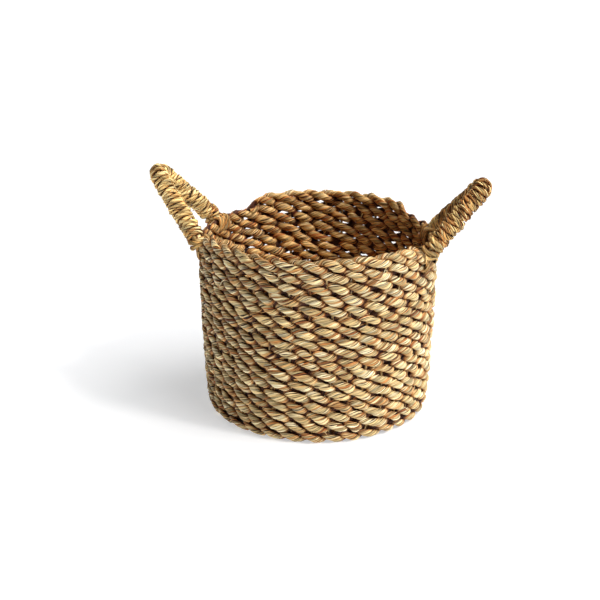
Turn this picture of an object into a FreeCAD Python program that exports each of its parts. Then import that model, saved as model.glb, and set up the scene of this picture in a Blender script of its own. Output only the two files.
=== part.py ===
import FreeCAD, Part
import Sketcher
import math
import os

# Round twined seagrass basket with two leaning loop handles.
# Row frame: origin at the centre of the base, +Z up, handles on +X and -X.
# Every length is in millimetres.

doc = FreeCAD.newDocument("seagrass_basket")
P = doc.addObject("Spreadsheet::Sheet", "Params")

VALUES = [
    ("course_pitch", 12.35),       # height taken by one twined course
    ("course_gap", 0.35),          # air between two courses
    ("wall_thick", 12.0),          # radial thickness of a course
    ("rad_foot", 124.9),           # outer radius at the floor
    ("rad_flare", 8.6),            # how much wider the rim is than the foot
    ("flare_power", 1.6),
    ("course_count", 17),
    ("edge_round", 2.6),           # rounding of a course's section
    ("stake_count", 38),
    ("stake_rad", 1.5),
    ("stake_hole", 2.15),
    ("stake_floor", 5.5),          # height of a spoke's centre line in the base
    ("bend_rad", 6.0),
    ("bend_start", 113.7),
    ("stake_inner", 31.5),
    ("base_high", 11.0),
    ("base_first", 30.0),
    ("base_pitch", 11.9),
    ("base_gap", 0.35),
    ("hub_rad", 29.6),
    ("hub_split", 5.5),
    ("front_span", 132.0),         # degrees of rim covered by the front top course
    ("back_span", 92.0),           # degrees of rim covered by the back top course
    ("foot_half", 42.0),           # half the distance between a handle's feet
    ("loop_high", 77.0),           # centre line of the loop above the line through the feet
    ("loop_bend", 11.0),           # centre line bend at the top of the loop
    ("core_rad", 6.0),
    ("wrap_inner", 6.4),
    ("wrap_rad", 9.8),
    ("core_start", 9.0),           # distance up the leg from the lean axis to the core's end
    ("wrap_start", 9.0),
    ("pivot_out", 129.0),
    ("pivot_high", 200.5),
    ("handle_lean", 40.0),
    ("lash_thick", 2.5),
    ("lash_clear", 0.4),
    ("lash_low", 176.0),
    ("lash_span", 9.4),
    ("tail_thick", 3.0),
    ("tail_span", 3.6),
    ("tail_low", 160.0),
    ("foot_angle", 18.0),
]
for i, (name, value) in enumerate(VALUES):
    P.set("A%d" % (i + 1), name)
    P.set("B%d" % (i + 1), str(value))
    P.setAlias("B%d" % (i + 1), name)
doc.recompute()
V = dict(VALUES)
nodes = []


def plane(body, role):
    return [o for o in body.Origin.OriginFeatures if o.Role == role][0]


def new_body(label):
    body = doc.addObject("PartDesign::Body", label)
    body.Label = label
    body.Placement = FreeCAD.Placement()
    nodes.append(body)
    return body


def new_sketch(body, name, role, offset=None):
    sk = body.newObject("Sketcher::SketchObject", name)
    sk.AttachmentSupport = [(plane(body, role), "")]
    sk.MapMode = "FlatFace"
    if offset is not None:
        sk.AttachmentOffset = FreeCAD.Placement(FreeCAD.Vector(*offset), FreeCAD.Rotation())
    return sk


def bind(sk, index, name, expr):
    sk.renameConstraint(index, name)
    sk.setExpression("Constraints." + name, expr)


def rectangle(sk, x0, x1, y0, y1, ex):
    """Closed rectangle whose four sides are bound to expressions ex = (x0, x1, y0, y1)."""
    v = [FreeCAD.Vector(x0, y0, 0), FreeCAD.Vector(x1, y0, 0), FreeCAD.Vector(x1, y1, 0), FreeCAD.Vector(x0, y1, 0)]
    n = sk.GeometryCount
    for i in range(4):
        sk.addGeometry(Part.LineSegment(v[i], v[(i + 1) % 4]), False)
    for i in range(4):
        sk.addConstraint(Sketcher.Constraint("Coincident", n + i, 2, n + (i + 1) % 4, 1))
    sk.addConstraint(Sketcher.Constraint("Horizontal", n))
    sk.addConstraint(Sketcher.Constraint("Vertical", n + 1))
    sk.addConstraint(Sketcher.Constraint("Horizontal", n + 2))
    sk.addConstraint(Sketcher.Constraint("Vertical", n + 3))
    bind(sk, sk.addConstraint(Sketcher.Constraint("DistanceX", -1, 1, n, 1, x0)), "side_a", ex[0])
    bind(sk, sk.addConstraint(Sketcher.Constraint("DistanceX", -1, 1, n, 2, x1)), "side_b", ex[1])
    if abs(y0) < 1e-9 and ex[2] == "0":
        sk.addConstraint(Sketcher.Constraint("PointOnObject", n, 1, -1))
    else:
        bind(sk, sk.addConstraint(Sketcher.Constraint("DistanceY", -1, 1, n, 1, y0)), "side_c", ex[2])
    bind(sk, sk.addConstraint(Sketcher.Constraint("DistanceY", -1, 1, n + 2, 1, y1)), "side_d", ex[3])


def revolve(body, sk, name="Ring", angle=None):
    rev = body.newObject("PartDesign::Revolution", name)
    rev.Profile = sk
    rev.ReferenceAxis = (sk, ["V_Axis"])
    if angle is None:
        rev.Angle = 360.0
    else:
        rev.Midplane = True
        rev.Angle = angle[0]
        rev.setExpression("Angle", angle[1])
    sk.Visibility = False
    return rev


def round_ring_edges(body, feature, expr, value):
    """Round the circular edges of a revolved ring section."""
    doc.recompute()
    names = []
    for i, e in enumerate(feature.Shape.Edges):
        c = e.Curve
        if c.TypeId == "Part::GeomCircle" and abs(abs(c.Axis.z) - 1.0) < 1e-6 and c.Radius > 20:
            names.append("Edge%d" % (i + 1))
    f = body.newObject("PartDesign::Fillet", "Rounding")
    f.Base = (feature, names)
    f.Radius = value
    f.setExpression("Radius", expr)
    doc.recompute()
    return f


def outer(k):
    """Outer radius of course k, counted from 1 at the floor."""
    t = (k - 0.5) / V["course_count"]
    return V["rad_foot"] + V["rad_flare"] * (1 - (1 - t) ** V["flare_power"])


def outer_expr(k):
    return ("(Params.rad_foot + Params.rad_flare * (1 - (1 - %.1f / Params.course_count) ^ Params.flare_power))" % (k - 0.5))


def stake_holes(body, radius_expr, radius, count, start_deg=None, span=None):
    sk = new_sketch(body, "StakeHole", "XY_Plane")
    a = math.radians(start_deg or 0.0)
    g = sk.addGeometry(Part.Circle(FreeCAD.Vector(radius * math.cos(a), radius * math.sin(a), 0), FreeCAD.Vector(0, 0, 1), V["stake_hole"]), False)
    bind(sk, sk.addConstraint(Sketcher.Constraint("Radius", g, V["stake_hole"])), "hole_rad", "Params.stake_hole")
    if start_deg is None:
        sk.addConstraint(Sketcher.Constraint("PointOnObject", g, 3, -1))
        bind(sk, sk.addConstraint(Sketcher.Constraint("DistanceX", -1, 1, g, 3, radius)), "hole_out", radius_expr)
    else:
        bind(sk, sk.addConstraint(Sketcher.Constraint("DistanceX", -1, 1, g, 3, radius * math.cos(a))), "hole_x", "%s * cos(%.6f deg)" % (radius_expr, start_deg))
        bind(sk, sk.addConstraint(Sketcher.Constraint("DistanceY", -1, 1, g, 3, radius * math.sin(a))), "hole_y", "%s * sin(%.6f deg)" % (radius_expr, start_deg))
    pk = body.newObject("PartDesign::Pocket", "StakePocket")
    pk.Profile = sk
    pk.Type = 1
    pk.Midplane = True
    sk.Visibility = False
    doc.recompute()
    pp = body.newObject("PartDesign::PolarPattern", "StakeHoles")
    pp.Originals = [pk]
    pp.Axis = (plane(body, "Z_Axis"), [""])
    pp.Angle = 360.0 if span is None else span
    body.Tip = pp
    pp.Occurrences = count
    if span is None:
        pp.setExpression("Occurrences", "Params.stake_count")
    doc.recompute()
    return pp


def course(label, k, span=None, turn=0.0, holes=None):
    body = new_body(label)
    r1 = outer(k)
    sk = new_sketch(body, "Section", "XZ_Plane")
    height = V["course_pitch"] - V["course_gap"]
    rectangle(sk, r1 - V["wall_thick"], r1, 0.0, height,
              (outer_expr(k) + " - Params.wall_thick", outer_expr(k), "0", "Params.course_pitch - Params.course_gap"))
    rev = revolve(body, sk, "Ring", span)
    fil = round_ring_edges(body, rev, "Params.edge_round", V["edge_round"])
    mid = outer_expr(k) + " - Params.wall_thick / 2"
    if holes is None:
        stake_holes(body, "(" + mid + ")", r1 - V["wall_thick"] / 2, int(V["stake_count"]))
    else:
        stake_holes(body, "(" + mid + ")", r1 - V["wall_thick"] / 2, holes[0], holes[1], holes[2])
    body.Placement = FreeCAD.Placement(FreeCAD.Vector(0, 0, (k - 1) * V["course_pitch"]), FreeCAD.Rotation(FreeCAD.Vector(0, 0, 1), turn))
    body.setExpression("Placement.Base.z", "Params.course_pitch * %d" % (k - 1))
    return body


# wall: fifteen full twined courses above the corner round
for k in range(2, 17):
    course("wall_course_%02d" % k, k)

# top course: one run round the front, a shorter one round the back; the rim is one course lower at the handles
step = 360.0 / V["stake_count"]
course("rim_course_front", 17, (V["front_span"], "Params.front_span"), -90.0, (14, -6.5 * step, 13 * step))
course("rim_course_back", 17, (V["back_span"], "Params.back_span"), 90.0, (10, -4.5 * step, 9 * step))

# corner round: the twined course outside the bend of the spokes, flat underneath
body = new_body("corner_round")
sk = new_sketch(body, "Section", "XZ_Plane")
bx, bz, br = V["bend_start"], V["stake_floor"] + V["bend_rad"], V["bend_rad"] + V["stake_hole"] - 0.1
top = V["course_pitch"] - V["course_gap"]
ro = outer(1)
er = 5.0
pts = [FreeCAD.Vector(bx, 0, 0), FreeCAD.Vector(ro - er, 0, 0), FreeCAD.Vector(ro, er, 0), FreeCAD.Vector(ro, top, 0),
       FreeCAD.Vector(bx + br, top, 0), FreeCAD.Vector(bx + br, bz, 0), FreeCAD.Vector(bx, bz - br, 0)]
c = math.sqrt(0.5)
sk.addGeometry(Part.LineSegment(pts[0], pts[1]), False)
sk.addGeometry(Part.Arc(pts[1], FreeCAD.Vector(ro - er + er * c, er - er * c, 0), pts[2]), False)
sk.addGeometry(Part.LineSegment(pts[2], pts[3]), False)
sk.addGeometry(Part.LineSegment(pts[3], pts[4]), False)
sk.addGeometry(Part.LineSegment(pts[4], pts[5]), False)
sk.addGeometry(Part.Arc(pts[5], FreeCAD.Vector(bx + br * c, bz - br * c, 0), pts[6]), False)
sk.addGeometry(Part.LineSegment(pts[6], pts[0]), False)
revolve(body, sk)
doc.recompute()

# base: a two-layer hub of crossed spokes, then seven flat twined rounds
for label, z0, z1, e0, e1 in (("base_hub_lower", 0.0, V["hub_split"] - 0.2, "0", "Params.hub_split - 0.2"),
                              ("base_hub_upper", V["hub_split"] + 0.2, V["base_high"], "Params.hub_split + 0.2", "Params.base_high")):
    body = new_body(label)
    sk = new_sketch(body, "Outline", "XY_Plane")
    g = sk.addGeometry(Part.Circle(FreeCAD.Vector(0, 0, 0), FreeCAD.Vector(0, 0, 1), V["hub_rad"]), False)
    sk.addConstraint(Sketcher.Constraint("Coincident", g, 3, -1, 1))
    bind(sk, sk.addConstraint(Sketcher.Constraint("Radius", g, V["hub_rad"])), "hub_rad", "Params.hub_rad")
    pad = body.newObject("PartDesign::Pad", "Disc")
    pad.Profile = sk
    pad.Length = z1 - z0
    pad.setExpression("Length", "(%s) - (%s)" % (e1, e0))
    sk.Visibility = False
    doc.recompute()
    body.Placement = FreeCAD.Placement(FreeCAD.Vector(0, 0, z0), FreeCAD.Rotation())
    if e0 != "0":
        body.setExpression("Placement.Base.z", e0)

for n in range(1, 8):
    body = new_body("base_round_%d" % n)
    sk = new_sketch(body, "Section", "XZ_Plane")
    r0 = V["base_first"] + (n - 1) * V["base_pitch"]
    r1 = r0 + V["base_pitch"] - V["base_gap"]
    rectangle(sk, r0, r1, 0.0, V["base_high"],
              ("Params.base_first + Params.base_pitch * %d" % (n - 1), "Params.base_first + Params.base_pitch * %d - Params.base_gap" % n, "0", "Params.base_high"))
    rev = revolve(body, sk)
    fil = round_ring_edges(body, rev, "Params.edge_round - 0.6", V["edge_round"] - 0.6)
    hs = new_sketch(body, "SpokeHole", "YZ_Plane")
    g = hs.addGeometry(Part.Circle(FreeCAD.Vector(0, V["stake_floor"], 0), FreeCAD.Vector(0, 0, 1), V["stake_hole"] - 0.25), False)
    hs.addConstraint(Sketcher.Constraint("PointOnObject", g, 3, -2))
    bind(hs, hs.addConstraint(Sketcher.Constraint("DistanceY", -1, 1, g, 3, V["stake_floor"])), "hole_high", "Params.stake_floor")
    bind(hs, hs.addConstraint(Sketcher.Constraint("Radius", g, V["stake_hole"] - 0.25)), "hole_rad", "Params.stake_hole - 0.25")
    pk = body.newObject("PartDesign::Pocket", "SpokePocket")
    pk.Profile = hs
    pk.Type = 1
    pk.Midplane = True
    hs.Visibility = False
    doc.recompute()
    pp = body.newObject("PartDesign::PolarPattern", "SpokeHoles")
    pp.Originals = [pk]
    pp.Axis = (plane(body, "Z_Axis"), [""])
    pp.Angle = 180.0 - 360.0 / V["stake_count"]
    body.Tip = pp
    pp.Occurrences = int(V["stake_count"]) // 2
    doc.recompute()

# stakes: each runs out along the base as a spoke, bends at the corner and stands up inside the wall
wall_out = [outer(k) - V["wall_thick"] / 2 for k in range(1, 18)]


def stake_shape(z_top):
    a = FreeCAD.Vector(V["stake_inner"], 0, V["stake_floor"])
    b = FreeCAD.Vector(V["bend_start"], 0, V["stake_floor"])
    m = FreeCAD.Vector(V["bend_start"] + V["bend_rad"] * c, 0, V["stake_floor"] + V["bend_rad"] * (1 - c))
    e = FreeCAD.Vector(V["bend_start"] + V["bend_rad"], 0, V["stake_floor"] + V["bend_rad"])
    up = [FreeCAD.Vector(wall_out[k - 1], 0, (k - 0.5) * V["course_pitch"]) for k in range(2, 18)]
    up = [v for v in up if v.z < z_top - 4.0]
    last = up[-1] + (up[-1] - up[-2]).normalize() * ((z_top - up[-1].z))
    curve = Part.BSplineCurve()
    curve.interpolate(Points=[e] + up + [last], InitialTangent=FreeCAD.Vector(0, 0, 1), FinalTangent=(last - up[-1]).normalize())
    path = Part.Wire([Part.makeLine(a, b), Part.Arc(b, m, e).toShape(), curve.toShape()])
    ring = Part.Wire([Part.makeCircle(V["stake_rad"], a, FreeCAD.Vector(1, 0, 0))])
    solid = path.makePipeShell([ring], True, False)
    if solid.Volume < 0:
        solid.reverse()
    return solid


rim_top = 17 * V["course_pitch"] - 4.0
low_top = 16 * V["course_pitch"] - 2.0
tall, short = stake_shape(rim_top), stake_shape(low_top)
tall_list, short_list = [], []
for i in range(int(V["stake_count"])):
    ang = i * step
    rel = (ang + 180.0) % 360.0 - 180.0
    right = -24.0 < rel < 44.0
    relL = (180.0 - ang + 180.0) % 360.0 - 180.0
    left = -24.0 < relL < 44.0
    s = (short if (right or left) else tall).copy()
    s.rotate(FreeCAD.Vector(0, 0, 0), FreeCAD.Vector(0, 0, 1), ang)
    (short_list if (right or left) else tall_list).append(s)
for label, items in (("stakes_tall", tall_list), ("stakes_short", short_list)):
    o = doc.addObject("Part::Feature", label)
    o.Label = label
    o.Shape = Part.makeCompound(items)
    o.Placement = FreeCAD.Placement()
    nodes.append(o)


# handles: a bent core cord inside a wound wrap; each leans outward about the line through its feet
leg_len = math.hypot(V["foot_half"], V["loop_high"] - V["loop_bend"])
leg_tilt = math.atan2(V["foot_half"], V["loop_high"] - V["loop_bend"]) - math.asin(V["loop_bend"] / leg_len)
leg_run = math.sqrt(leg_len ** 2 - V["loop_bend"] ** 2)


def on_leg(dist):
    """Point on the left leg's centre line, in the loop's own plane."""
    return FreeCAD.Vector(-V["foot_half"] + dist * math.sin(leg_tilt), dist * math.cos(leg_tilt), 0)


def loop_path(body, name, start):
    sk = new_sketch(body, name, "YZ_Plane")
    p, q = on_leg(start), on_leg(leg_run)
    sk.addGeometry(Part.LineSegment(p, q), False)
    sk.addGeometry(Part.Arc(q, FreeCAD.Vector(0, V["loop_high"], 0), FreeCAD.Vector(-q.x, q.y, 0)), False)
    sk.addGeometry(Part.LineSegment(FreeCAD.Vector(-q.x, q.y, 0), FreeCAD.Vector(-p.x, p.y, 0)), False)
    return sk


def handle(side, turn):
    out = []
    for piece in ("core", "wrap"):
        label = "%s_handle_%s" % (side, piece)
        body = new_body(label)
        start = V["core_start"] if piece == "core" else V["wrap_start"]
        path = loop_path(body, "Path", start)
        p = on_leg(start)
        sec = new_sketch(body, "Section", "XY_Plane")
        sec.AttachmentOffset = FreeCAD.Placement(FreeCAD.Vector(0, p.x, p.y), FreeCAD.Rotation(FreeCAD.Vector(1, 0, 0), -math.degrees(leg_tilt)))
        centre = FreeCAD.Vector(0, 0, 0)
        rads = [("core_rad", V["core_rad"])] if piece == "core" else [("wrap_rad", V["wrap_rad"]), ("wrap_inner", V["wrap_inner"])]
        for name, r in rads:
            g = sec.addGeometry(Part.Circle(centre, FreeCAD.Vector(0, 0, 1), r), False)
            bind(sec, sec.addConstraint(Sketcher.Constraint("Radius", g, r)), name, "Params." + name)
            sec.addConstraint(Sketcher.Constraint("Coincident", g, 3, -1, 1))
        doc.recompute()
        pipe = body.newObject("PartDesign::AdditivePipe", "Loop")
        pipe.Profile = sec
        pipe.Spine = (path, ["Edge1", "Edge2", "Edge3"])
        path.Visibility = False
        sec.Visibility = False
        doc.recompute()
        if piece == "core":
            for sign in (-1, 1):
                ball = body.newObject("PartDesign::AdditiveSphere", "FootEnd")
                ball.AttachmentSupport = [(plane(body, "XY_Plane"), "")]
                ball.MapMode = "FlatFace"
                ball.AttachmentOffset = FreeCAD.Placement(FreeCAD.Vector(0, -sign * p.x, p.y), FreeCAD.Rotation())
                ball.Radius = V["core_rad"]
                ball.setExpression("Radius", "Params.core_rad")
                doc.recompute()
        lean = FreeCAD.Rotation(FreeCAD.Vector(0, 1, 0), V["handle_lean"])
        spin = FreeCAD.Rotation(FreeCAD.Vector(0, 0, 1), turn)
        body.Placement = FreeCAD.Placement(spin.multVec(FreeCAD.Vector(V["pivot_out"], 0, V["pivot_high"])), spin.multiply(lean))
        out.append(body)
    return out


handle("right", 0.0)
handle("left", 180.0)

# feet: a flat tail of the core lies on the wall's inner face, and a lashing saddles the rim over it
r_in = min(outer(15), outer(16), outer(14)) - V["wall_thick"]
r_out = max(outer(15), outer(16))
z_rim = 16 * V["course_pitch"] - V["course_gap"]
for side, base_angle in (("right", 0.0), ("left", 180.0)):
    for end, sign in (("front", -1.0 if side == "right" else 1.0), ("back", 1.0 if side == "right" else -1.0)):
        turn = base_angle + sign * V["foot_angle"]
        rot = FreeCAD.Rotation(FreeCAD.Vector(0, 0, 1), turn)
        tail = new_body("%s_core_tail_%s" % (side, end))
        sk = new_sketch(tail, "Section", "XZ_Plane")
        t0, t1 = r_in - 1.2 - V["tail_thick"], r_in - 1.2
        rectangle(sk, t0, t1, V["tail_low"], z_rim - 0.5,
                  ("%.4f - Params.tail_thick" % t1, "%.4f + 0 * Params.tail_thick" % t1, "Params.tail_low", "Params.course_pitch * 16 - Params.course_gap - 0.5"))
        revolve(tail, sk, "Tail", (V["tail_span"], "Params.tail_span"))
        doc.recompute()
        tail.Placement = FreeCAD.Placement(FreeCAD.Vector(0, 0, 0), rot)
        lash = new_body("%s_foot_lashing_%s" % (side, end))
        sk = new_sketch(lash, "Section", "XZ_Plane")
        cl, th = V["lash_clear"], V["lash_thick"]
        xi1 = t0 - cl
        xi0 = xi1 - th
        xo0 = r_out + cl
        xo1 = xo0 + th
        zt0 = z_rim + cl
        zt1 = zt0 + th
        zl = V["lash_low"]
        poly = [(xi0, zl), (xi1, zl), (xi1, zt0), (xo0, zt0), (xo0, zl), (xo1, zl), (xo1, zt1), (xi0, zt1)]
        for i in range(len(poly)):
            p, q = poly[i], poly[(i + 1) % len(poly)]
            sk.addGeometry(Part.LineSegment(FreeCAD.Vector(p[0], p[1], 0), FreeCAD.Vector(q[0], q[1], 0)), False)
        revolve(lash, sk, "Saddle", (V["lash_span"], "Params.lash_span"))
        doc.recompute()
        lash.Placement = FreeCAD.Placement(FreeCAD.Vector(0, 0, 0), rot)

doc.recompute()

os.makedirs("parts", exist_ok=True)
bad = []
for o in nodes:
    if "Invalid" in o.State or "Error" in o.State or o.Shape.isNull() or not o.Shape.isValid():
        bad.append(o.Label)
    else:
        bb = o.Shape.BoundBox
        print("%-28s solids %3d  vol %9.0f  x %.1f..%.1f y %.1f..%.1f z %.1f..%.1f" % (o.Label, len(o.Shape.Solids), o.Shape.Volume, bb.XMin, bb.XMax, bb.YMin, bb.YMax, bb.ZMin, bb.ZMax))
if bad:
    raise RuntimeError("nodes that failed: " + ", ".join(bad))
for o in nodes:
    o.Shape.exportStep("parts/%s.step" % o.Label)
print("nodes", len(nodes))
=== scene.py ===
import bpy
import math
import numpy as np
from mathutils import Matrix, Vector


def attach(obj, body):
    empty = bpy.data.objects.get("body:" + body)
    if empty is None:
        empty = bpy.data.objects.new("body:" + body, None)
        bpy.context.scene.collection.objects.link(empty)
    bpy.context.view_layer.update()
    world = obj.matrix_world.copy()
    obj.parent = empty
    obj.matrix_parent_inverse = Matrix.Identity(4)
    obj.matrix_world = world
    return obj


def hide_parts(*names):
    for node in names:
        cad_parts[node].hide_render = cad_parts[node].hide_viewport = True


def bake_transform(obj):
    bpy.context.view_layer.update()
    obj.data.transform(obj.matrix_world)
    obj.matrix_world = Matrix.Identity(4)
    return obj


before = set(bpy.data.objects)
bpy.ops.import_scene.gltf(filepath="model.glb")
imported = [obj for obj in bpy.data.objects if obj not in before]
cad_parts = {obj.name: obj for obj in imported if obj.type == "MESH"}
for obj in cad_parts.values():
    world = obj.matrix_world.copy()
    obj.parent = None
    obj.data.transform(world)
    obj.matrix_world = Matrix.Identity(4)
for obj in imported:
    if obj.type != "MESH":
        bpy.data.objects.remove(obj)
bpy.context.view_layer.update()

MM = 0.001
rng = np.random.default_rng(7341)

# ---------------------------------------------------------------- dimensions (mm), as in the model
PITCH = 12.35
WALL_T = 12.0
N_COURSE = 17
N_STAKE = 38
N_STITCH = 34
STEP = 2 * math.pi / N_STAKE
PIVOT_OUT, PIVOT_HIGH, LEAN = 129.0, 200.5, math.radians(40.0)
FOOT_HALF, LOOP_HIGH, LOOP_BEND = 42.0, 77.0, 11.0


def outer(k):
    t = (k - 0.5) / N_COURSE
    return 124.9 + 8.6 * (1 - (1 - t) ** 1.6)


# ---------------------------------------------------------------- numeric helpers
def periodic(n, r, lo, hi, closed=True):
    """Smooth zero-mean noise of about unit size, with lo..hi waves over the length."""
    m = n if closed else 2 * n
    scale = 1 if closed else 2
    spec = np.zeros(m // 2 + 1, complex)
    lo_i, hi_i = max(1, int(lo * scale)), min(m // 2, int(hi * scale) + 1)
    k = np.arange(lo_i, hi_i + 1)
    spec[lo_i:hi_i + 1] = (r.normal(size=len(k)) + 1j * r.normal(size=len(k)))
    y = np.fft.irfft(spec, m)[:n]
    return y / (y.std() + 1e-9)


def unit(v):
    return v / (np.linalg.norm(v, axis=-1, keepdims=True) + 1e-12)


def tangents(P, closed):
    if closed:
        return unit(np.roll(P, -1, 0) - np.roll(P, 1, 0))
    return unit(np.gradient(P, axis=0))


class Builder:
    """Collects ribbons of leaf and writes them as one mesh."""

    def __init__(self):
        self.v, self.f, self.col, self.fib, self.uvrows, self.count = [], [], [], [], [], 0

    def grid(self, V, col, fib, closed_long, closed_cross=False, real_len=1.0, real_wid=1.0):
        """V (n, q, 3) vertices; col (n, q, 3); fib (n, q, 3)."""
        n, q = V.shape[:2]
        i = np.arange(n if closed_long else n - 1)
        j = np.arange(q if closed_cross else q - 1)
        I, J = np.meshgrid(i, j, indexing="ij")
        I2, J2 = (I + 1) % n, (J + 1) % q
        a = I * q + J
        b = I2 * q + J
        c = I2 * q + J2
        d = I * q + J2
        F = np.stack([a, b, c, d], -1).reshape(-1, 4) + self.count
        # face corners' place on this ribbon, for the map: along 0..n, across 0..q
        al = np.stack([I, I + 1, I + 1, I], -1).reshape(-1, 4).astype(float)
        ac = np.stack([J, J, J + 1, J + 1], -1).reshape(-1, 4).astype(float)
        if col.shape[-1] == 3:
            col = np.concatenate([col, np.zeros(col.shape[:-1] + (1,))], -1)
        self.v.append(V.reshape(-1, 3))
        self.col.append(col.reshape(-1, 4))
        self.fib.append(fib.reshape(-1, 3))
        self.f.append(F)
        self.uvrows.append((al, ac, len(i), len(j), real_len, real_wid))
        self.count += n * q

    def mesh(self, name):
        V = np.concatenate(self.v) * MM
        F = np.concatenate(self.f)
        col = np.concatenate(self.col)
        fib = np.concatenate(self.fib)
        me = bpy.data.meshes.new(name)
        me.vertices.add(len(V))
        me.vertices.foreach_set("co", V.astype(np.float32).ravel())
        me.loops.add(F.size)
        me.loops.foreach_set("vertex_index", F.astype(np.int32).ravel())
        me.polygons.add(len(F))
        me.polygons.foreach_set("loop_start", np.arange(0, F.size, 4, dtype=np.int32))
        me.polygons.foreach_set("loop_total", np.full(len(F), 4, dtype=np.int32))
        me.polygons.foreach_set("use_smooth", np.ones(len(F), dtype=bool))
        me.update(calc_edges=True)
        c4 = col.astype(np.float32)
        a = me.attributes.new("leaf", "FLOAT_COLOR", "POINT")
        a.data.foreach_set("color", c4.ravel())
        # fib: x and y place the fibre texture, z holds the painted shade depth
        a = me.attributes.new("fib", "FLOAT_VECTOR", "POINT")
        a.data.foreach_set("vector", fib.astype(np.float32).ravel())
        # a tidy strip layout: every ribbon is folded into rows, so no two faces share a place
        total = sum(r[4] * r[5] for r in self.uvrows)
        side = math.sqrt(total) * 1.04
        rows = []
        for r in self.uvrows:
            per = max(1, int(math.ceil(r[4] / side)))
            rows.append((per, r[5]))
        heights = sum(p * w for p, w in rows)
        uv = np.zeros((len(F), 4, 2))
        y, at = 0.0, 0
        for (al, ac, ni, nj, rl, rw), (per, w) in zip(self.uvrows, rows):
            seg = int(math.ceil(ni / per))
            base = np.floor(al[:, :1] / seg + 1e-9)
            u = (al - base * seg) / seg
            hgt = w / heights
            pad = 0.06
            vv = y + (base + pad + (1 - 2 * pad) * ac / nj) * hgt
            m = len(al)
            uv[at:at + m, :, 0] = 0.002 + 0.996 * u
            uv[at:at + m, :, 1] = vv
            at += m
            y += per * hgt
        uv[..., 1] = np.clip(uv[..., 1], 0.0, 1.0)
        layer = me.uv_layers.new(name="OFBake")
        layer.data.foreach_set("uv", uv.astype(np.float32).ravel())
        me.validate()
        ob = bpy.data.objects.new(name, me)
        bpy.context.scene.collection.objects.link(ob)
        return ob


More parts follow.
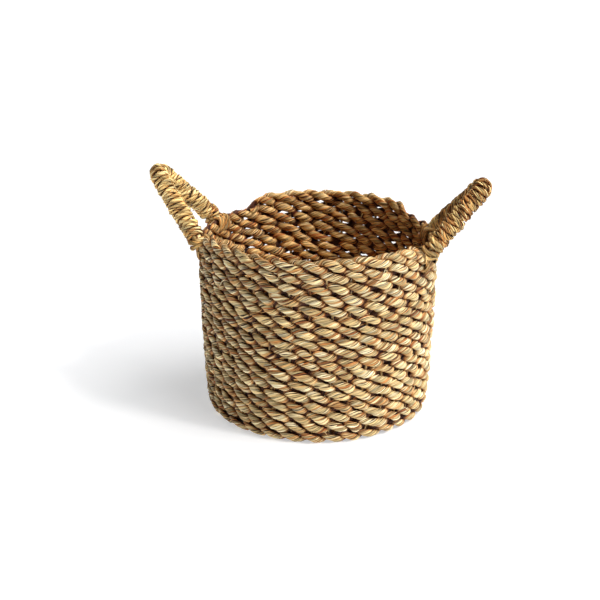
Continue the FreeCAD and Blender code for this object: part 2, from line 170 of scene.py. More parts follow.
def strand(B, P, N0, hr, hh, r, closed=True, leaves=12, quads=3, pitch=34.0, sign=1.0, painted_shade_depth=None,
           spread=1.22, lift=0.06, rough=1.0, hue_bias=0.0, tone_bias=0.0, core=True, taper=None, painted_inside_warmth=None):
    """A bundle of flat leaves twisted about the line P. N0 is the direction of the thin half-size hr;
    hh is the half-size along the other direction."""
    n = len(P)
    T = tangents(P, closed)
    N = unit(N0 - (N0 * T).sum(1, keepdims=True) * T)
    Bv = np.cross(T, N)
    d = np.linalg.norm(np.roll(P, -1, 0) - P, axis=1)
    if not closed:
        d[-1] = 0
    s = np.concatenate([[0], np.cumsum(d)[:-1]])
    L = d.sum()
    turns = L / pitch
    if closed:
        turns = max(1, round(turns))
    wave = L
    tau = sign * 2 * math.pi * turns * s / L
    tau = tau + 0.35 * periodic(n, r, wave / 160, wave / 60, closed)
    hr = np.broadcast_to(hr, (n,)).astype(float)
    hh = np.broadcast_to(hh, (n,)).astype(float)
    if taper is not None:
        hr, hh = hr * taper, hh * taper
    if core:
        step = 2 if n > 60 else 1
        idx = np.arange(0, n, step)
        m = 8
        be = np.linspace(0, 2 * math.pi, m, endpoint=False)
        V = (P[idx, None] + 0.74 * hr[idx, None, None] * np.cos(be)[None, :, None] * N[idx, None]
             + 0.74 * hh[idx, None, None] * np.sin(be)[None, :, None] * Bv[idx, None])
        # the core lies hidden under the leaves: painted as in shade, with a low tone, near-edge painted shade and full
        # painted shade depth
        col = np.zeros(V.shape)
        col[..., 0], col[..., 1], col[..., 2] = 0.25, 0.55, 0.9
        fib = np.zeros(V.shape)
        fib[..., 0] = be[None] * 2
        fib[..., 1] = s[idx, None]
        fib[..., 2] = 1.0
        B.grid(V, col, fib, closed, True, L, 1.2)
    half = math.pi / leaves * spread
    t = np.linspace(-1, 1, quads + 1)
    per = 2 * math.pi * math.sqrt((hr.mean() ** 2 + hh.mean() ** 2) / 2)
    wid = per / leaves
    for i in range(leaves):
        b0 = 2 * math.pi * i / leaves + r.normal() * 0.10
        bi = b0 + tau + 0.10 * rough * periodic(n, r, wave / 70, wave / 18, closed)
        w = half * (1 + 0.26 * r.normal()) * (1 + 0.16 * periodic(n, r, wave / 50, wave / 14, closed))
        w = np.clip(w, half * 0.5, half * 2.0)
        rad = 1.0 + 0.05 * r.normal() + 0.05 * rough * periodic(n, r, wave / 45, wave / 12, closed)
        tilt = lift * (1.0 + 0.8 * periodic(n, r, wave / 60, wave / 20, closed))
        be = bi[:, None] + t[None] * w[:, None]
        crown = 0.13 + 0.03 * r.normal()
        ro = rad[:, None] - crown * t[None] ** 2 + tilt[:, None] * t[None] * 1.3
        V = (P[:, None] + (hr[:, None] * ro * np.cos(be))[..., None] * N[:, None]
             + (hh[:, None] * ro * np.sin(be))[..., None] * Bv[:, None])
        V[..., 2] = np.maximum(V[..., 2], 0.12)
        hue = 0.42 + 0.25 * r.normal()
        hue = np.clip(hue + 0.10 * periodic(n, r, wave / 120, wave / 40, closed) + hue_bias, 0.0, 1.0)
        tone = np.clip(0.5 + 0.22 * r.normal() + 0.17 * periodic(n, r, wave / 60, wave / 15, closed) + tone_bias, 0, 1)
        col = np.zeros(V.shape)
        col[..., 0] = tone[:, None]
        col[..., 1] = hue[:, None]
        # place across the leaf, 0 middle to 1 edge, which drives the painted shade at the leaf edges
        col[..., 2] = np.abs(t)[None]
        # alpha of the leaf colour: the inside mask for the painted warm bounce light
        if painted_inside_warmth is not None:
            col = np.concatenate([col, painted_inside_warmth(V)[..., None]], -1)
        fib = np.zeros(V.shape)
        fib[..., 0] = t[None] * wid * 0.6 + i * 7.3
        fib[..., 1] = s[:, None] + i * 31.0
        # painted shade: without a depth mask, leaves sunk below the bundle's surface are darkened
        shade_amt = painted_shade_depth(V) if painted_shade_depth is not None else np.clip((0.95 - ro) * 3.0, 0, 1) * 0.5
        fib[..., 2] = shade_amt
        B.grid(V, col, fib, closed, False, L, wid * 1.15)


def smooth01(x):
    x = np.clip(x, 0, 1)
    return x * x * (3 - 2 * x)


stake_shape = periodic(720, np.random.default_rng(12), 3, 16)     # the stakes are not perfectly spaced


def stake_jitter(th):
    i = (th % (2 * math.pi)) / (2 * math.pi) * 720
    return 0.035 * STEP * np.interp(i, np.arange(721), np.append(stake_shape, stake_shape[0]))


def twined(B, rc, zc, gamma, n_half, r, a0=-math.pi, a1=math.pi, closed=True, wob_r=0.0, wob_z=0.0,
           hh_mid=4.6, hh_end=3.85, hr=2.9, amp_n=2.75, amp_t=3.7, seg=2.0, sign=-1.0, dive=None, phase0=0.0, shift=None,
           shade_start=0.7, shade_span=3.6, flat=0.62, top_course=False):
    """Two strands twined round the stakes. gamma is the wall normal's angle in the (r, z) plane."""
    arc = (a1 - a0) * rc * 1.09
    n = max(48, int(arc / seg))
    u = np.arange(n) / n if closed else np.linspace(0, 1, n)
    th = a0 + (a1 - a0) * u
    jit = 0.085 * STEP * periodic(n, r, n_half * 0.10 * (a1 - a0) / 6.283, n_half * 0.40 * (a1 - a0) / 6.283, closed)
    jit = jit + stake_jitter(th)
    wr = wob_r * periodic(n, r, 2, 9, closed)
    wz = wob_z * periodic(n, r, 2, 14, closed)
    cg, sg = math.cos(gamma), math.sin(gamma)
    per_turn = n_half / (2 * math.pi)
    for k in range(2):
        psi = sign * math.pi * (th + jit) * per_turn + math.pi * k + phase0
        size = 1 + 0.075 * periodic(n, r, 6, 30, closed)
        cs, sn = np.cos(psi), np.sin(psi)
        an = amp_n * np.sign(cs) * np.abs(cs) ** flat
        at = amp_t * sn * (1 + 0.08 * periodic(n, r, 8, 30, closed))
        cp = np.abs(cs) ** 1.2
        hh = (hh_end + (hh_mid - hh_end) * cp) * size
        h_r = hr * (1.0 + 0.04 * periodic(n, r, 8, 30, closed))
        rr = rc + wr + an * cg - at * sg
        zz = zc + wz + an * sg + at * cg
        tap = np.ones(n)
        if dive is not None:
            ends = np.minimum((th - a0), (a1 - th)) * rc
            dz = 1 - smooth01(ends / dive[0])
            zz = zz - dive[1] * dz
            rr = rr - dive[2] * dz
            tap = 1 - dive[3] * dz
        mr, mz = rc + wr, zc + wz
        if shift is not None:
            dr, dz2 = shift(th)
            rr, zz = rr + dr, zz + dz2
            mr, mz = mr + dr, mz + dz2
        P = np.stack([rr * np.cos(th), rr * np.sin(th), zz], 1)
        N0 = np.stack([cg * np.cos(th), cg * np.sin(th), np.full(n, sg)], 1)
        mid_r, mid_z = mr[:, None], (mz[:, None] if abs(sg) > 0.1 else 0.0)

        # painted shade: darker where the leaf lies near the course's middle surface, at the stitch ends and in the
        # crevices between courses
        def painted_shade_depth(V):
            R = np.hypot(V[..., 0], V[..., 1])
            dn = (R - mid_r) * cg + (V[..., 2] - mid_z) * sg
            shade_amt = 1 - smooth01((np.abs(dn) - shade_start) / shade_span)
            # the top course has no course above it, so its upper side gets less painted shade
            if top_course:
                shade_amt = shade_amt * (1 - 0.85 * smooth01((V[..., 2] - zc) / 3.5))
            return shade_amt

        # painted warm bounce light: how far a leaf point lies on the basket's inner side of the course, 0 outside to 1
        # inside
        def painted_inside_warmth(V):
            R = np.hypot(V[..., 0], V[..., 1])
            return smooth01(((mid_r - R) * cg - (V[..., 2] - mid_z) * sg) / 4.0)
        strand(B, P, N0, h_r * tap, hh * tap, r, closed=closed, pitch=29.0 * (1 + 0.08 * r.normal()), painted_shade_depth=painted_shade_depth,
               leaves=14, sign=-1.0, painted_inside_warmth=painted_inside_warmth)


# ---------------------------------------------------------------- materials
def lin(c):
    out = []
    for x in c:
        x = x / 255.0
        out.append(x / 12.92 if x <= 0.04045 else ((x + 0.055) / 1.055) ** 2.4)
    return (*out, 1.0)


def seagrass(name, stops, painted_crease_shade, bright=1.0, rough=0.62):
    mat = bpy.data.materials.new(name)
    mat.use_nodes = True
    nt = mat.node_tree
    nd, lk = nt.nodes, nt.links
    nd.clear()
    out = nd.new("ShaderNodeOutputMaterial")
    bs = nd.new("ShaderNodeBsdfPrincipled")
    lk.new(bs.outputs[0], out.inputs[0])
    leaf = nd.new("ShaderNodeAttribute"); leaf.attribute_name = "leaf"
    fib = nd.new("ShaderNodeAttribute"); fib.attribute_name = "fib"
    sep = nd.new("ShaderNodeSeparateColor"); lk.new(leaf.outputs["Color"], sep.inputs[0])
    sf = nd.new("ShaderNodeSeparateXYZ"); lk.new(fib.outputs["Vector"], sf.inputs[0])
    co = nd.new("ShaderNodeCombineXYZ")
    lk.new(sf.outputs[0], co.inputs[0]); lk.new(sf.outputs[1], co.inputs[1])

    def noise(scale, sx, sy, detail=3.0):
        mp = nd.new("ShaderNodeMapping"); mp.inputs["Scale"].default_value = (sx, sy, 1)
        lk.new(co.outputs[0], mp.inputs["Vector"])
        no = nd.new("ShaderNodeTexNoise"); no.inputs["Scale"].default_value = scale
        no.inputs["Detail"].default_value = detail
        lk.new(mp.outputs[0], no.inputs["Vector"])
        return no.outputs["Fac"]

    def math_(op, a, b=None, c=None, clamp=False):
        m = nd.new("ShaderNodeMath"); m.operation = op; m.use_clamp = clamp
        for i, x in enumerate((a, b, c)):
            if x is None:
                continue
            if isinstance(x, (int, float)):
                m.inputs[i].default_value = x
            else:
                lk.new(x, m.inputs[i])
        return m.outputs[0]

    def mix(fac, a, b, mode="MIX"):
        m = nd.new("ShaderNodeMix"); m.data_type = "RGBA"; m.blend_type = mode; m.clamp_factor = True
        for sock, x in ((m.inputs[0], fac), (m.inputs[6], a), (m.inputs[7], b)):
            if isinstance(x, (int, float)):
                sock.default_value = x
            elif isinstance(x, tuple):
                sock.default_value = x
            else:
                lk.new(x, sock)
        return m.outputs[2]

    patches = noise(1.0, 0.10, 0.030, 2.0)       # slow change along a leaf
    streak = noise(1.0, 3.4, 0.05, 3.0)          # fine lines along the leaf
    fleck = noise(1.0, 1.4, 0.35, 4.0)
    hue = math_("ADD", sep.outputs[1], math_("MULTIPLY", math_("SUBTRACT", patches, 0.5), 0.55))
    ramp = nd.new("ShaderNodeValToRGB")
    cr = ramp.color_ramp
    cr.elements[0].position, cr.elements[0].color = stops[0][0], lin(stops[0][1])
    cr.elements[1].position, cr.elements[1].color = stops[-1][0], lin(stops[-1][1])
    for p, c in stops[1:-1]:
        e = cr.elements.new(p); e.color = lin(c)
    lk.new(hue, ramp.inputs[0])
    # lines of fibre, darker and warmer
    sm = math_("MULTIPLY", math_("SUBTRACT", streak, 0.47), 3.2, clamp=True)
    c1 = mix(math_("MULTIPLY", sm, 0.42), ramp.outputs[0], mix(1.0, ramp.outputs[0], lin((196, 142, 84)), "MULTIPLY"))
    # brightness by leaf
    val = math_("ADD", math_("MULTIPLY", sep.outputs[0], 1.15), math_("ADD", 0.40 * bright, math_("MULTIPLY", fleck, 0.22)))
    grey = nd.new("ShaderNodeCombineColor")
    for i in range(3):
        lk.new(val, grey.inputs[i])
    c2 = mix(1.0, c1, grey.outputs[0], "MULTIPLY")
    # painted shade: the edges of a leaf, where the gaps between leaves fall in shade, and the depths of the weave turn
    # orange brown
    leaf_gap_shade = math_("POWER", sep.outputs[2], 3.5)
    c3 = mix(math_("MULTIPLY", leaf_gap_shade, 0.85), c2, mix(1.0, c2, lin((140, 82, 38)), "MULTIPLY"))
    # painted shade: mild depth turns the leaf orange brown, great depth dark brown (the crease colour)
    mild_painted_shade = math_("MULTIPLY", sf.outputs[2], 2.0, clamp=True)
    strong_painted_shade = math_("MULTIPLY", math_("SUBTRACT", sf.outputs[2], 0.50), 2.2, clamp=True)
    c35 = mix(math_("MULTIPLY", mild_painted_shade, 0.85), c3, mix(1.0, c3, lin((214, 160, 100)), "MULTIPLY"))
    c4 = mix(math_("MULTIPLY", strong_painted_shade, 0.96), c35, mix(1.0, c35, lin(painted_crease_shade), "MULTIPLY"))
    # painted warm bounce light: leaf faces on the basket's inside (leaf alpha) are tinted orange
    c5 = mix(math_("MULTIPLY", leaf.outputs["Alpha"], 0.72), c4, mix(1.0, c4, (1.05, 0.80, 0.50, 1), "MULTIPLY"))
    lk.new(c5, bs.inputs["Base Color"])
    rg = math_("ADD", math_("MULTIPLY", streak, 0.22), rough - 0.12)
    lk.new(rg, bs.inputs["Roughness"])
    bs.inputs["Specular IOR Level"].default_value = 0.42
    bs.inputs["Sheen Weight"].default_value = 0.08
    bs.inputs["Sheen Roughness"].default_value = 0.5
    bump = nd.new("ShaderNodeBump")
    bump.inputs["Strength"].default_value = 0.55
    bump.inputs["Distance"].default_value = 0.00035
    hgt = math_("ADD", math_("MULTIPLY", streak, 1.0), math_("MULTIPLY", fleck, 0.5))
    lk.new(hgt, bump.inputs["Height"])
    lk.new(bump.outputs[0], bs.inputs["Normal"])
    return mat


STRAW = [(0.0, (250, 238, 196)), (0.22, (242, 222, 168)), (0.42, (226, 196, 134)), (0.56, (190, 174, 124)), (0.70, (214, 168, 104)), (0.84, (198, 138, 74)), (1.0, (160, 94, 42))]
WARM = [(0.0, (244, 226, 172)), (0.30, (230, 200, 138)), (0.55, (208, 166, 102)), (0.80, (186, 132, 72)), (1.0, (152, 94, 44))]
WRAP = [(0.0, (252, 233, 170)), (0.30, (240, 208, 135)), (0.55, (222, 178, 104)), (0.80, (200, 143, 74)), (1.0, (162, 100, 43))]
m_weft = seagrass("seagrass_weft_leaf", STRAW, (92, 46, 18))
m_wrap = seagrass("seagrass_wrap_leaf", WRAP, (84, 40, 16), bright=1.0)
m_stake = seagrass("seagrass_stake_leaf", WARM, (170, 104, 50), bright=0.85)
m_core = seagrass("fibre_core_leaf", WARM, (120, 70, 30), bright=0.7)


def place(ob, mat, body, slot, *nodes):
    ob.data.materials.append(mat)
    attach(ob, body)
    if nodes:
        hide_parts(*nodes)
    return ob


# ---------------------------------------------------------------- wall courses
wall_shape = periodic(720, np.random.default_rng(11), 2, 5)      # the basket is not a perfect circle


def wall_shift(th):
    i = (th % (2 * math.pi)) / (2 * math.pi) * 720
    return 0.9 * np.interp(i, np.arange(721), np.append(wall_shape, wall_shape[0])), np.zeros(len(th))


for k in range(2, 17):
    r = np.random.default_rng(100 + k)
    B = Builder()
    twined(B, outer(k) - WALL_T / 2, (k - 0.5) * PITCH, 0.0, N_STITCH, r, wob_r=0.45, wob_z=0.55, shift=wall_shift,
           phase0=0.22 * k + 0.30 * r.normal())
    place(B.mesh("wall_course_%02d_wefts" % k), m_weft, "basket", "seagrass_weft", "wall_course_%02d" % k)

# top course: front run and back run, each end tucked down over the course below
for name, mid, span, seed in (("front", -90.0, 132.0, 201), ("back", 90.0, 92.0, 202)):
    r = np.random.default_rng(seed)
    B = Builder()
    a0, a1 = math.radians(mid - span / 2 - 3), math.radians(mid + span / 2 + 3)
    twined(B, outer(17) - WALL_T / 2, 16.5 * PITCH, 0.0, N_STITCH, r, a0=a0, a1=a1, closed=False,
           wob_r=0.3, wob_z=0.3, dive=(26.0, 9.0, 0.5, 0.35), shift=wall_shift, top_course=True)
    place(B.mesh("rim_course_%s_wefts" % name), m_weft, "basket", "seagrass_weft", "rim_course_%s" % name)

# corner round
r = np.random.default_rng(301)
B = Builder()
twined(B, 119.2, 7.3, -math.pi / 6, N_STITCH, r, wob_r=0.3, wob_z=0.0, hh_mid=4.8, hh_end=3.9)
place(B.mesh("corner_round_wefts"), m_weft, "basket", "seagrass_weft", "corner_round")

# base rounds
for j in range(1, 8):
    rc = 30.0 + (j - 0.5) * 11.9 - 0.2
    n_half = min(N_STAKE, 2 * int(round(rc * 2 * math.pi / 17.0 / 2)))
    r = np.random.default_rng(400 + j)
    B = Builder()
    twined(B, rc, 6.45, -math.pi / 2, n_half, r, wob_r=0.25, wob_z=0.0, hh_mid=4.5, hh_end=3.6)
    place(B.mesh("base_round_%d_wefts" % j), m_weft, "basket", "seagrass_weft", "base_round_%d" % j)

# hub: two crossed layers of spokes, woven over and under
for layer, node in ((0, "base_hub_lower"), (1, "base_hub_upper")):
    B = Builder()
    r = np.random.default_rng(500 + layer)
    w = 7.2
    for i in range(-4, 5):
        off = i * w * 0.92
        if abs(off) > 29:
            continue
        half = math.sqrt(max(31.0 ** 2 - off ** 2, 9))
        x = np.linspace(-half, half, max(16, int(half * 2 / 1.5)))
        z = 6.0 + (1.9 if layer else -1.9) * np.cos(math.pi * (x / (w * 0.92) + (i % 2)))
        z = np.clip(z, 2.6, 9.4)
        P = np.stack([x, np.full_like(x, off), z], 1) if layer == 0 else np.stack([np.full_like(x, off), x, z], 1)
        N0 = np.tile(np.array([[0, 0, -1.0]]), (len(x), 1))
        strand(B, P, N0, 2.2, 3.3, r, closed=False, leaves=9, pitch=40.0)
    place(B.mesh("%s_spokes" % node), m_weft, "basket", "seagrass_stake", node)

# stakes: out along the base, up inside the wall
for name, node in (("tall", "stakes_tall"), ("short", "stakes_short")):
    B = Builder()
    r = np.random.default_rng(600 + len(name))
    for i in range(N_STAKE):
        ang = i * STEP
        rel = (math.degrees(ang) + 180) % 360 - 180
        relL = (180 - math.degrees(ang) + 180) % 360 - 180
        low = (-24 < rel < 44) or (-24 < relL < 44)
        if low != (name == "short"):
            continue
        top = (16 * PITCH - 3.0) if low else (17 * PITCH - 5.0)
        rs = [31.5, 60, 90, 110.5, 114.5, 117.6, 119.6]
        zs = [6.45, 6.45, 6.45, 6.3, 6.9, 8.8, 12.5]
        for k in range(2, 18):
            z = (k - 0.5) * PITCH
            if z < top - 3:
                rs.append(outer(k) - WALL_T / 2); zs.append(z)
        rs.append(rs[-1] + 0.1); zs.append(top)
        rs, zs = np.array(rs), np.array(zs)
        cum = np.concatenate([[0], np.cumsum(np.hypot(np.diff(rs), np.diff(zs)))])
        s = np.linspace(0, cum[-1], 100)
        R, Z = np.interp(s, cum, rs), np.interp(s, cum, zs)
        da = 0.012 * periodic(100, r, 1, 4, False) * smooth01(s / 120)
        R = R + wall_shift(np.full(100, ang))[0] * smooth01((s - 80) / 60)
        P = np.stack([R * np.cos(ang + da), R * np.sin(ang + da), Z], 1)
        T = tangents(P, False)
        side = np.array([-math.sin(ang), math.cos(ang), 0.0])
        N0 = np.cross(T, side[None])
        strand(B, P, N0, 1.35, 1.6, r, closed=False, leaves=5, quads=2, pitch=26.0, core=True)
    place(B.mesh("stakes_%s_twist" % name), m_stake, "basket", "seagrass_stake", node)


# ---------------------------------------------------------------- handles
leg_len = math.hypot(FOOT_HALF, LOOP_HIGH - LOOP_BEND)
leg_tilt = math.atan2(FOOT_HALF, LOOP_HIGH - LOOP_BEND) - math.asin(LOOP_BEND / leg_len)
leg_run = math.sqrt(leg_len ** 2 - LOOP_BEND ** 2)
arc_len = LOOP_BEND * (math.pi - 2 * leg_tilt)
LOOP_LEN = 2 * leg_run + arc_len


def loop_point(u):
    """Point (y, v) on the loop's centre line at distance u from its first foot."""
    y, v = np.zeros_like(u), np.zeros_like(u)
    a = u <= leg_run
    y[a] = -FOOT_HALF + u[a] * math.sin(leg_tilt)
    v[a] = u[a] * math.cos(leg_tilt)
    b = (u > leg_run) & (u < leg_run + arc_len)
    ph = math.pi - leg_tilt - (u[b] - leg_run) / LOOP_BEND
    y[b] = LOOP_BEND * np.cos(ph)
    v[b] = LOOP_HIGH - LOOP_BEND + LOOP_BEND * np.sin(ph)
    c = u >= leg_run + arc_len
    w = LOOP_LEN - u[c]
    y[c] = FOOT_HALF - w * math.sin(leg_tilt)
    v[c] = w * math.cos(leg_tilt)
    return y, v


def loop_world(u, side):
    y, v = loop_point(u)
    x = PIVOT_OUT + v * math.sin(LEAN)
    z = PIVOT_HIGH + v * math.cos(LEAN)
    return np.stack([x * side, y * side, z], 1)


def wound(B, C, e1, r, turns_pitch, rad, half_w, half_t, seg=1.5, leaves=7, phase=0.0, tilt=0.0):
    """A cord wound round the line C (dense points). e1 is a direction never parallel to the line."""
    T = tangents(C, False)
    E1 = unit(e1 - (e1 * T).sum(1, keepdims=True) * T)
    E2 = np.cross(T, E1)
    s = np.concatenate([[0], np.cumsum(np.linalg.norm(np.diff(C, axis=0), axis=1))])
    L = s[-1]
    turns = L / turns_pitch
    n = max(40, int(turns * 2 * math.pi * rad / seg))
    su = np.linspace(0, L, n)
    ph = 2 * math.pi * turns * (su / L) + phase + 0.35 * periodic(n, r, turns * 0.08, turns * 0.4, False)
    ic = lambda A: np.stack([np.interp(su, s, A[:, k]) for k in range(3)], 1)
    Cc, A1, A2, Tt = ic(C), ic(E1), ic(E2), ic(T)
    rr = rad * (1 + 0.05 * periodic(n, r, turns * 0.3, turns * 2.2, False))
    slip = 0.55 * periodic(n, r, turns * 0.3, turns * 2.5, False) + tilt * np.sin(ph)
    P = Cc + rr[:, None] * (np.cos(ph)[:, None] * A1 + np.sin(ph)[:, None] * A2) + slip[:, None] * Tt
    N0 = np.cos(ph)[:, None] * A1 + np.sin(ph)[:, None] * A2
    size = 1 + 0.14 * periodic(n, r, turns * 0.4, turns * 2.0, False)
    centre = Cc

    # painted shade: darker where the wrap sinks in towards the core
    def painted_shade_depth(V):
        dist = np.linalg.norm(V - centre[:, None], axis=-1)
        return 1 - smooth01((dist - (rad - 0.8)) / 2.6)
    strand(B, P, N0, half_t * size, half_w * size, r, closed=False, leaves=leaves, quads=2, pitch=25.0, painted_shade_depth=painted_shade_depth,
           lift=0.12, rough=1.6, spread=1.28)


for side, sgn in (("right", 1.0), ("left", -1.0)):
    body = "%s_handle" % side
    nrm = np.array([math.cos(LEAN) * sgn, 0.0, -math.sin(LEAN)])
    # core
    B = Builder()
    r = np.random.default_rng(700 + (sgn > 0))
    u = np.linspace(4.0, LOOP_LEN - 4.0, 130)
    C = loop_world(u, sgn)
    strand(B, C, np.tile(nrm, (len(C), 1)), 6.0, 6.0, r, closed=False, leaves=11, quads=2, pitch=60.0)
    place(B.mesh("%s_handle_core_bundle" % side), m_core, body, "fibre_core", "%s_handle_core" % side)
    # wrap
    B = Builder()
    r = np.random.default_rng(720 + (sgn > 0))
    u = np.linspace(9.0, LOOP_LEN - 9.0, 400)
    C = loop_world(u, sgn)
    wound(B, C, np.tile(nrm, (len(C), 1)), r, 4.9, 8.4, 2.30, 2.15, tilt=0.9)
    place(B.mesh("%s_handle_wrap_cord" % side), m_wrap, body, "seagrass_wrap", "%s_handle_wrap" % side)
    # collars: the turns of wrap between the rim and each leg
    for end, esign in (("front", -1.0), ("back", 1.0)):
        B = Builder()
        r = np.random.default_rng(int(740 + 3 * sgn + esign))
        loc = esign * sgn
        if loc < 0:
            u = np.linspace(-9.0, 9.6, 60)
            C = loop_world(np.maximum(u, 0.0), sgn)
            ex = np.minimum(u, 0.0)
        else:
            u = np.linspace(LOOP_LEN + 9.0, LOOP_LEN - 9.6, 60)
            C = loop_world(np.minimum(u, LOOP_LEN), sgn)
            ex = -np.maximum(u - LOOP_LEN, 0.0)
        # below the pivot the line bends down into the rim
        C = C + np.stack([0.35 * ex * sgn, np.zeros_like(ex), 0.94 * ex], 1)
        strand(B, C, np.tile(nrm, (len(C), 1)), 5.8, 5.8, r, closed=False, leaves=9, quads=2, pitch=60.0)
        wound(B, C, np.tile(nrm, (len(C), 1)), r, 4.9, 8.2, 2.30, 2.15, tilt=0.6)
        ob = B.mesh("%s_%s_foot_collar" % (side, end))
        ob.data.materials.append(m_wrap)
        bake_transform(ob)
    # feet
    for end, esign in (("front", -1.0), ("back", 1.0)):
        base_ang = 0.0 if sgn > 0 else math.pi
        ang0 = base_ang + math.radians(18.0) * esign * sgn
        r = np.random.default_rng(int(760 + 3 * sgn + esign))
        # tail of the core, pushed down into the wall beside the stakes
        B = Builder()
        zz = np.linspace(160.5, 197.0, 26)
        rt = outer(15) - WALL_T / 2 - 2.0 + 0.0 * zz
        P = np.stack([rt * math.cos(ang0), rt * math.sin(ang0), zz], 1)
        N0 = np.tile(np.array([[math.cos(ang0), math.sin(ang0), 0]]), (len(zz), 1))
        strand(B, P, N0, 1.1, 3.7, r, closed=False, leaves=8, quads=2, pitch=60.0, taper=0.55 + 0.45 * smooth01((zz - 160) / 14))
        place(B.mesh("%s_core_tail_%s_bundle" % (side, end)), m_core, "basket", "fibre_core", "%s_core_tail_%s" % (side, end))
        # lashing: turns of cord over the rim
        B = Builder()
        turns = 5
        n = turns * 52
        t = np.linspace(0, turns, n)
        ph = 2 * math.pi * t
        ex = 3.2
        cx, sx = np.cos(ph), np.sin(ph)
        den = (np.abs(cx) ** ex + np.abs(sx) ** ex) ** (1 / ex)
        rc = outer(16) - WALL_T / 2 - 0.6
        hw, hz = 8.3, 11.4 + 1.0 * periodic(n, r, 1, 3, False)
        inn = smooth01(-cx * 3.0)
        R = rc + hw * (1 - 0.16 * inn) * cx / den
        Z = 188.6 + hz * (1 - 0.62 * inn * (sx < 0)) * sx / den
        Z = np.minimum(Z, 201.0)
        A = ang0 + (t - turns / 2) * math.radians(2.1) + 0.006 * periodic(n, r, 2, 7, False)
        P = np.stack([R * np.cos(A), R * np.sin(A), Z], 1)
        N0 = np.stack([cx / den * np.cos(A), cx / den * np.sin(A), sx / den], 1)
        # the lashing cord gets a constant slight painted shade, a little orange all over
        strand(B, P, unit(N0), 1.25, 2.5, r, closed=False, leaves=7, quads=2, pitch=24.0, lift=0.10, rough=1.5,
               painted_shade_depth=lambda V: 0.25 + 0.0 * V[..., 0])
        place(B.mesh("%s_foot_lashing_%s_cord" % (side, end)), m_wrap, "basket", "seagrass_wrap", "%s_foot_lashing_%s" % (side, end))

# ---------------------------------------------------------------- loose fibre ends
def hairs(name, body, spots, r, mat):
    B = Builder()
    for p, d, ln, wd in spots:
        n = 12
        s = np.linspace(0, 1, n)
        d = d / np.linalg.norm(d)
        side = unit(np.cross(d, r.normal(size=3)))
        bend = side * (0.35 * ln * r.normal())
        droop = np.array([0, 0, -0.15 * ln])
        P = p + d * (ln * s)[:, None] + bend * (s ** 2)[:, None] + droop * (s ** 2)[:, None]
        P = P + 0.05 * ln * side * np.sin(6 * s)[:, None]
        T = tangents(P, False)
        W = unit(np.cross(T, unit(r.normal(size=3))))
        H = np.cross(T, W)
        w = wd * (1 - 0.75 * s)[:, None]
        V = np.stack([P - W * w, P + H * w * 0.45, P + W * w, P - H * w * 0.45], 1)
        col = np.zeros(V.shape)
        col[..., 0], col[..., 1], col[..., 2] = 0.4 + 0.3 * r.random(), 0.6 * r.random(), 0.3
        fib = np.zeros(V.shape)
        fib[..., 1] = (s * ln)[:, None] + 50 * r.random()
        B.grid(V, col, fib, False, True, ln, wd * 3)
    return place(B.mesh(name), mat, body, "seagrass_weft")


r = np.random.default_rng(900)
spots = []
for i in range(150):
    th = r.uniform(-math.pi, math.pi)
    k = int(r.integers(2, 17))
    z = (k - 0.5) * PITCH + r.normal() * 3.5
    inside = r.random() < 0.3
    R = outer(k) - WALL_T / 2 + (-6.0 if inside else 6.0)
    n = np.array([math.cos(th), math.sin(th), 0]) * (-1 if inside else 1)
    tng = np.array([-math.sin(th), math.cos(th), 0]) * r.choice([-1, 1])
    p = np.array([R * math.cos(th), R * math.sin(th), z])
    spots.append((p - n * 1.2, n * r.uniform(0.15, 0.7) + tng + np.array([0, 0, r.normal() * 0.6]), r.uniform(4, 13), r.uniform(0.25, 0.6)))
hairs("wall_loose_fibres", "basket", spots, r, m_weft)
for side, sgn in (("right", 1.0), ("left", -1.0)):
    r = np.random.default_rng(910 + (sgn > 0))
    spots = []
    nrm = np.array([math.cos(LEAN) * sgn, 0.0, -math.sin(LEAN)])
    for i in range(150):
        u = np.array([r.uniform(10, LOOP_LEN - 10)])
        c = loop_world(u, sgn)[0]
        t = unit(loop_world(u + 1, sgn) - loop_world(u - 1, sgn))[0]
        ph = r.uniform(0, 2 * math.pi)
        e2 = np.cross(t, nrm)
        d = math.cos(ph) * nrm + math.sin(ph) * e2
        spots.append((c + d * 9.6, d * 0.5 + r.normal(size=3) * 0.8, r.uniform(2.0, 5.0), r.uniform(0.25, 0.6)))
    hairs("%s_handle_loose_fibres" % side, "%s_handle" % side, spots, r, m_wrap)

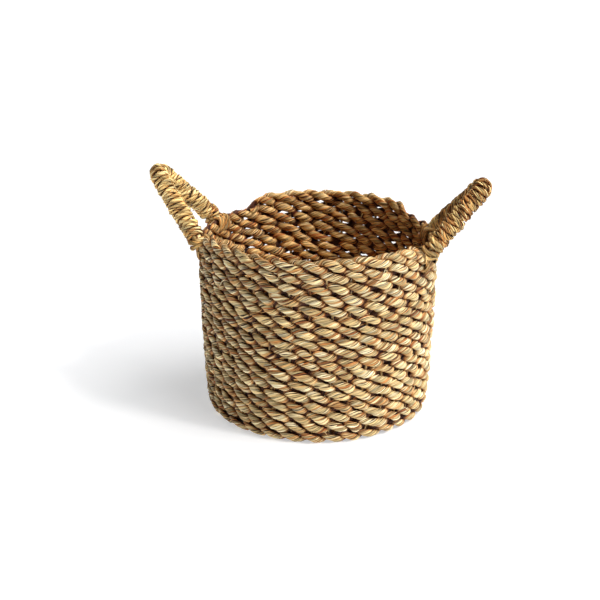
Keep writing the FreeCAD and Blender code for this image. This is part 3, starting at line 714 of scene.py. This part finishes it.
# ---------------------------------------------------------------- floor, light, camera
me = bpy.data.meshes.new("floor")
me.from_pydata([(-80, -80, 0), (80, -80, 0), (80, 80, 0), (-80, 80, 0)], [], [(0, 1, 2, 3)])
floor = bpy.data.objects.new("floor", me)
bpy.context.scene.collection.objects.link(floor)
fm = bpy.data.materials.new("floor_paper")
fm.use_nodes = True
fb = fm.node_tree.nodes["Principled BSDF"]
fb.inputs["Base Color"].default_value = (0.60, 0.60, 0.61, 1)
fb.inputs["Emission Color"].default_value = (0.95, 0.975, 1.0, 1)
fb.inputs["Emission Strength"].default_value = 0.52
fb.inputs["Roughness"].default_value = 0.9
fb.inputs["Specular IOR Level"].default_value = 0.1
me.materials.append(fm)

AZ = math.radians(9.3)
EL = 0.36
DIST = 1.700


def turn(x, y):
    return x * math.cos(AZ) - y * math.sin(AZ), x * math.sin(AZ) + y * math.cos(AZ)


tx, ty = turn(-0.02017, 0.0)
target = Vector((tx, ty, 0.1197))
ox, oy = turn(0.0, -math.cos(EL))
cam_data = bpy.data.cameras.new("camera")
cam = bpy.data.objects.new("camera", cam_data)
bpy.context.scene.collection.objects.link(cam)
cam.location = target + Vector((ox, oy, math.sin(EL))) * DIST
cam.rotation_euler = (target - cam.location).to_track_quat("-Z", "Y").to_euler()
cam_data.sensor_width = 36.0
cam_data.lens = 1506.6 / 600 * 36.0
cam_data.clip_end = 300
bpy.context.scene.camera = cam


def sun(name, az_deg, el_deg, angle_deg, strength, color=(1, 1, 1)):
    """az_deg is measured from the picture's right, positive towards the viewer."""
    d = bpy.data.lights.new(name, "SUN")
    d.energy = strength
    d.angle = math.radians(angle_deg)
    d.color = color
    o = bpy.data.objects.new(name, d)
    bpy.context.scene.collection.objects.link(o)
    a, e = math.radians(az_deg), math.radians(el_deg)
    x, y = turn(math.cos(e) * math.cos(a), -math.cos(e) * math.sin(a))
    o.rotation_euler = Vector((-x, -y, -math.sin(e))).to_track_quat("-Z", "Y").to_euler()
    o.location = (x * 2, y * 2, 2 * math.sin(e))
    return o


sun("soft_key", 12, 60, 52, 2.95, (1.0, 0.99, 0.975))
sun("crisp_key", 29, 44, 9, 1.25, (1.0, 0.985, 0.95))
world = bpy.data.worlds.new("studio")
bpy.context.scene.world = world
world.use_nodes = True
world.node_tree.nodes["Background"].inputs[0].default_value = (1.0, 1.0, 1.0, 1)
world.node_tree.nodes["Background"].inputs[1].default_value = 0.09
bpy.context.scene.view_settings.view_transform = "Standard"
bpy.context.scene.view_settings.look = "None"
